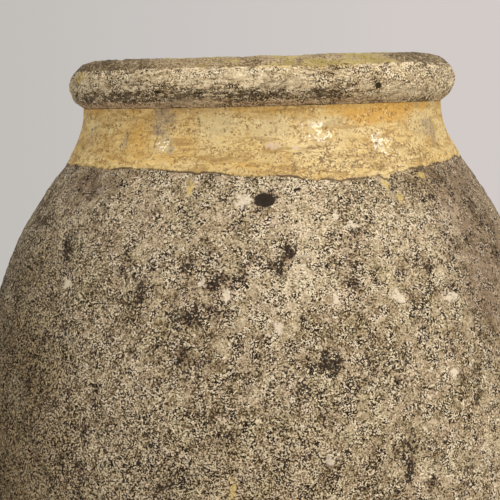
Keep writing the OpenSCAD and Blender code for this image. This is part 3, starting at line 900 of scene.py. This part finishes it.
def build_wall(clay):
    lower = Outline()
    lower.add_outer(0, FOOT_LAP - 0.004, COARSE, 0)
    lower.add_outer(FOOT_LAP - 0.004, FIRST_SEAM)
    lower.add(middle(FIRST_SEAM, SEAM_RIDGE))
    lower.add_inner(0.002, FIRST_SEAM)
    lower.add(WALL_INSIDE)
    turned_piece("lower-wall", "lower_wall", clay, lower, clay_relief, body_masks)
    for name, start, end in (("belly-wall", FIRST_SEAM, SECOND_SEAM), ("shoulder-wall", SECOND_SEAM, COLLAR_SEAM)):
        lift = Outline()
        lift.add_outer(start, end)
        lift.add(middle(end, SEAM_RIDGE))
        lift.add_inner(start, end)
        lift.add(middle(start, SEAM_RIDGE))
        turned_piece(name, name.replace("-", "_"), clay, lift, clay_relief, body_masks)


def build_collar(clay):
    collar = Outline()
    collar.add_outer(COLLAR_SEAM, COLLAR_END, FINE * 0.7)
    collar.add((THROAT_R, SEAT_Z))
    collar.add(THROAT_BEND[::-1])
    collar.add(middle(COLLAR_SEAM, SEAM_RIDGE))
    turned_piece("collar-clay", "collar", clay, collar, clay_relief, body_masks)


# The lip, whose outline changes round the jar

def lip_waves(a):
    """How far the lip rises and swells at each CAD angle, as in the CAD model."""
    a = np.radians(a)
    def wave(turns, start):
        return np.sin(turns * a + math.radians(start))
    rise = LIP_WOBBLE * (0.5 * wave(1, 8) + 0.3 * wave(2, 106) + 0.35 * wave(3, 204))
    swell = LIP_WOBBLE * (0.4 * wave(2, 20) + 0.3 * wave(5, 60))
    return rise, swell


def lip_outline(around):
    """The lip's outer side from its seat over the crown and down its inner side: (around, outline, 2),
    and the index of the outline at which the crown's glaze begins."""
    rise, swell = (w[:, None] for w in lip_waves(bearings(around) - 90))
    wide_z = SEAT_Z + LIP_WIDE_H
    roll_under = math.acos((WAIST[0] - CROWN_R) / (LIP_R - CROWN_R))
    glaze_from = math.asin(1 - CROWN_GLAZE_DROP / (LIP_H - LIP_WIDE_H))
    over = np.r_[np.linspace(-roll_under, glaze_from, 24 // COARSENESS + 1),
                 np.linspace(glaze_from, np.pi / 2, 16 // COARSENESS + 1)[1:]]
    under = np.clip(1 + over / roll_under, 0, 1)
    r = CROWN_R + (LIP_R - CROWN_R + swell * under) * np.cos(over)
    z = np.where(over < 0, LIP_WIDE_H * np.sin(over) / math.sin(roll_under),
                 (LIP_H - LIP_WIDE_H + rise) * np.sin(over)) + wide_z
    t = np.linspace(0, np.pi / 2, 12 // COARSENESS + 1)[1:]
    r_in = np.broadcast_to(CROWN_R - (CROWN_R - THROAT_R) * np.sin(t), (around, len(t)))
    z_in = SEAT_Z + LIP_H - LIP_INNER_H + (LIP_INNER_H + rise) * np.cos(t)
    down = np.linspace(1, 0, 8)[1:]
    z_down = SEAT_Z + (z_in[:, -1:] - SEAT_Z) * down
    points = np.stack([np.hstack([r, r_in, np.full_like(z_down, THROAT_R)]), np.hstack([z, z_in, z_down])], 2)
    return points, 24 // COARSENESS


def plane_normals(points):
    """Normals on the right side of each row of points in (around, outline, 2)."""
    way = unit(np.gradient(points, axis=1))
    return np.stack([way[..., 1], -way[..., 0]], 2)


def build_lip(clay, worn_glaze):
    around = AROUND
    face, glaze_row = lip_outline(around)
    normals = plane_normals(face)
    base = swing(face, around)
    p = base.reshape(-1, 3)
    out = lip_relief(p).reshape(around, -1, 1)
    out[:, -1] = 0
    moved = base + swing(normals, around) * out
    seat = swing(np.linspace((THROAT_R, SEAT_Z), (WAIST[0], SEAT_Z), 4)[1:-1], around)
    verts = np.concatenate([moved, seat], axis=1)
    outline = np.vstack([face.mean(0), np.linspace((THROAT_R, SEAT_Z), (WAIST[0], SEAT_Z), 4)[1:-1]])
    masks = {key: np.hstack([value.reshape(around, -1), np.zeros((around, 2))]).ravel()
             for key, value in lip_masks(p).items()}
    last = face.shape[1] - 1
    put(shell("rolled-lip", verts, outline, (0, last), masks), "rolled_lip", clay)

    # the coat over the crown and the lip's inner side, thinning to nothing at its ragged edge
    edge = glaze_row - 2 // COARSENESS
    under = moved[:, edge:] - swing(normals[:, edge:], around) * 0.0003
    rows = under.shape[1]
    height = np.linspace(0, 1, rows)
    p = base[:, edge:].reshape(-1, 3)
    ragged = (0.5 + 0.5 * layered(p, 0.014, 121, 2)).reshape(around, rows)
    thick = GLAZE_T * 0.75 * smoothstep(0.0, 0.10, height - 0.05 * ragged) + 0.00005
    thick = thick + 0.0003 * layered(p, 0.008, 122, 2).reshape(around, rows) * smoothstep(0.02, 0.2, height)
    thick[:, -1] = GLAZE_T
    over = moved[:, edge:] + swing(normals[:, edge:], around) * thick[..., None]
    verts = np.concatenate([over, under[:, ::-1]], axis=1)
    flat = face.mean(0)[edge:]
    outline = np.vstack([flat, flat[::-1]])
    masks = {key: np.hstack([value.reshape(around, rows), np.zeros((around, rows))]).ravel()
             for key, value in crown_masks(p).items()}
    put(shell("crown-glaze", verts, outline, (0, rows - 1, rows, 2 * rows - 1), masks), "crown_glaze",
        worn_glaze)


# The coats of glaze

def glaze_edge(bearing):
    """Wall length at which the collar's glaze begins, as in the CAD model, with the finer drips of the photograph."""
    a = np.radians(bearing - 90)
    def run(at, wide, long):
        return long * np.exp(-(turned(bearing - 90, at) / wide) ** 2)
    def wave(turns, start):
        return np.sin(turns * a + math.radians(start))
    waves = 0.5 * wave(5, 80) + 0.4 * wave(11, 0) + 0.3 * wave(17, 50)
    runs = run(262, 6, 1) + run(296, 5, 1.5) + run(40, 8, 2) + run(150, 8, 2.5)
    return COLLAR_SEAM + GLAZE_START - run(290, 24, GLAZE_SAG) + GLAZE_WAVES * (waves - runs)


def build_collar_glaze(glaze):
    around = AROUND
    rows = 32 // COARSENESS
    bearing = bearings(around)
    circle = np.stack([np.sin(np.radians(bearing)), -np.cos(np.radians(bearing)), np.zeros(around)], 1) * 0.21
    edge = glaze_edge(bearing) + 0.0012 * layered(circle, 0.012, 131, 3, 0.7)
    for at, wide, long in ((32.4, 1.6, 0.007), (-17.2, 1.2, 0.002), (140, 2.0, 0.010), (-100, 1.6, 0.006)):
        edge -= long * np.exp(-(turned(bearing, at) / wide) ** 4)
    v = np.linspace(0, 1, rows + 1) ** 1.15
    s = edge[:, None] + v * (COLLAR_END - edge[:, None])
    plane, plane_n = OUTER.at(s), OUTER.normal(s)
    base, normals = swing(plane, around), swing(plane_n, around)
    p = base.reshape(-1, 3)
    clay = clay_relief(p).reshape(around, -1)
    from_edge = s - edge[:, None]
    lap = 0.35 + 0.65 * smoothstep(0, 0.005, from_edge)
    thick = np.maximum((GLAZE_T + glaze_relief(p).reshape(around, -1)) * lap, 0.0002)
    over = base + normals * (clay + thick)[..., None]
    under = base + normals * (clay - 0.0004)[..., None]
    verts = np.concatenate([over, under[:, ::-1]], axis=1)
    flat = plane.mean(0)
    masks = collar_masks(p)
    # painted shadow along the glaze's lower edge, a dark line where the coat's thickness casts shade
    masks["edge"] = (smoothstep(0.0035, 0.0005, from_edge) * (0.6 + 0.8 * noise(p, 0.02, 132).reshape(around, -1))).ravel()
    masks = {key: np.hstack([value.reshape(around, -1), np.zeros((around, rows + 1))]).ravel()
             for key, value in masks.items()}
    me = shell("collar-glaze", verts, np.vstack([flat, flat[::-1]]), (rows, rows + 1, 2 * rows + 1), masks)
    put(me, "collar_glaze", glaze)


def build_inside(glaze):
    """The coat inside: its shown face from the lip's seat down to the floor, and its back on the clay."""
    s = steps_between(CORNER_S, COLLAR_SEAM, INSIDE_STEP)
    wall = inner(s)
    line = np.vstack([np.linspace((0, BASE_TOP), CORNER_BEND[0], 14 // COARSENESS)[:-1], CORNER_BEND[:-1], wall[:-1],
                      THROAT_BEND[:-1], np.linspace(THROAT_BOTTOM, (THROAT_R, SEAT_Z), 8)])
    normals = -Line(line).normals
    normals[0], normals[-1] = (0, 1), (-1, 0)
    back = np.vstack([np.linspace((0, BASE_TOP), CORNER_BEND[0], 4)[:-1], CORNER_BEND[:-1:3],
                      inner(steps_between(CORNER_S, COLLAR_SEAM, COARSE))[:-1], THROAT_BEND[:-1:3],
                      THROAT_BOTTOM, (THROAT_R, SEAT_Z)])
    coat = Outline()
    coat.add(back)
    face = line + GLAZE_T * normals
    share = np.ones(len(line))
    share[-1] = 0
    coat.add(face[::-1], normals[::-1], share[::-1])
    turned_piece("inside-glaze", "inside_glaze", glaze, coat, inside_relief, inside_masks,
                 AROUND_INSIDE, on_axis=True)


def build_jar():
    terracotta, clay = raw_clay(), body_clay()
    build_foot(terracotta, clay)
    build_wall(clay)
    build_collar(clay)
    build_lip(lip_clay(), crown_finish())
    build_collar_glaze(collar_finish())
    build_inside(inside_finish())


# Floor, light and camera

def build_floor():
    """A pale disc that fades into the background before its edge."""
    radius, rings, sides = 4.2, 24, 96
    r = np.linspace(0, radius, rings + 1)
    verts = [(0, 0, 0)] + [(r[i] * math.cos(2 * math.pi * k / sides), r[i] * math.sin(2 * math.pi * k / sides), 0)
                           for i in range(1, rings + 1) for k in range(sides)]
    faces = [(0, 1 + k, 1 + (k + 1) % sides) for k in range(sides)]
    for i in range(rings - 1):
        for k in range(sides):
            a, b = 1 + i * sides + k, 1 + i * sides + (k + 1) % sides
            faces.append((a, a + sides, b + sides, b))
    me = bpy.data.meshes.new("floor")
    me.from_pydata(verts, [], faces)
    floor = bpy.data.objects.new("floor", me)
    bpy.context.scene.collection.objects.link(floor)
    f = Finish("floor")
    base = f.mix(f.ramp(f.noise(0.5, 71.0, 2), 0.3, 0.7), colour(214, 210, 205), colour(222, 218, 213))
    shader = f.node("ShaderNodeBsdfPrincipled", 0, None, _0=base, Roughness=0.8)
    away = f.node("ShaderNodeVectorMath", "Value", {"operation": "LENGTH"}, Vector=f.place)
    clear = f.node("ShaderNodeBsdfTransparent", 0)
    shown = f.node("ShaderNodeMixShader", 0, None, _0=f.ramp(away, 1.6, radius * 0.97), _1=shader, _2=clear)
    f.tree.links.new(shown, f.out.inputs["Surface"])
    me.materials.append(f.material)


def build_world():
    """A plain pale wall behind the jar, a little lighter on the right, and soft light from all round."""
    world = bpy.data.worlds.new("studio")
    bpy.context.scene.world = world
    world.use_nodes = True
    tree = world.node_tree
    tree.nodes.clear()
    way = tree.nodes.new("ShaderNodeTexCoord")
    split = tree.nodes.new("ShaderNodeSeparateXYZ")
    tree.links.new(way.outputs["Generated"], split.inputs[0])
    across = tree.nodes.new("ShaderNodeMapRange")
    tree.links.new(split.outputs["X"], across.inputs["Value"])
    across.inputs[1].default_value, across.inputs[2].default_value = -0.18, 0.10
    wall = tree.nodes.new("ShaderNodeMix")
    wall.data_type = "RGBA"
    tree.links.new(across.outputs[0], wall.inputs[0])
    wall.inputs[6].default_value = colour(194, 191, 187)
    wall.inputs[7].default_value = colour(210, 203, 200)
    seen = tree.nodes.new("ShaderNodeBackground")
    tree.links.new(wall.outputs[2], seen.inputs["Color"])
    soft = tree.nodes.new("ShaderNodeBackground")
    soft.inputs["Color"].default_value = (0.94, 0.97, 1.0, 1)
    soft.inputs["Strength"].default_value = 0.36
    path = tree.nodes.new("ShaderNodeLightPath")
    choose = tree.nodes.new("ShaderNodeMixShader")
    tree.links.new(path.outputs["Is Camera Ray"], choose.inputs[0])
    tree.links.new(soft.outputs[0], choose.inputs[1])
    tree.links.new(seen.outputs[0], choose.inputs[2])
    out = tree.nodes.new("ShaderNodeOutputWorld")
    tree.links.new(choose.outputs[0], out.inputs["Surface"])


def lamp(name, bearing, elevation, far, size, power, tint=(1, 0.97, 0.92)):
    """An area lamp at a bearing and elevation from the collar, facing it."""
    b, e = math.radians(bearing), math.radians(elevation)
    data = bpy.data.lights.new(name, "AREA")
    data.shape = "DISK"
    data.size = size
    data.energy = power
    data.color = tint
    obj = bpy.data.objects.new(name, data)
    bpy.context.scene.collection.objects.link(obj)
    turn = Matrix.Rotation(b, 4, "Z") @ Matrix.Rotation(math.pi / 2 - e, 4, "X")
    obj.matrix_world = Matrix.Translation((0, 0, 0.75)) @ turn @ Matrix.Translation((0, 0, far))


def build_light():
    lamp("key", 42, 46, 4.6, 2.4, 116)
    lamp("fill", -40, 20, 4.8, 3.0, 40, (0.98, 0.98, 1.0))
    lamp("soft spot", 37, 31, 4.6, 0.9, 52)
    lamp("spot right", 84.5, 31, 4.6, 0.9, 52, (0.92, 0.97, 1.0))
    lamp("spot left", -67, 34, 4.6, 0.8, 26, (0.97, 0.99, 1.0))
    lamp("rim", 150, 50, 5.0, 2.0, 50)


def build_camera():
    """The photograph's view: level with the lip, looking a little down, leaning slightly."""
    data = bpy.data.cameras.new("camera")
    data.sensor_width = 36
    data.lens = 18 / math.tan(math.radians(20.9 / 2))
    camera = bpy.data.objects.new("camera", data)
    bpy.context.scene.collection.objects.link(camera)
    yaw, pitch, roll = math.radians(0.66), math.radians(90 - 6.65), math.radians(-1.4)
    turn = Matrix.Rotation(yaw, 4, "Z") @ Matrix.Rotation(pitch, 4, "X") @ Matrix.Rotation(roll, 4, "Z")
    camera.matrix_world = Matrix.Translation((0, -1.5, 0.882)) @ turn
    bpy.context.scene.camera = camera


def build_picture():
    """How the picture's light becomes screen values."""
    bpy.context.scene.view_settings.view_transform = "Standard"


build_jar()
build_floor()
build_world()
build_light()
build_camera()
build_picture()
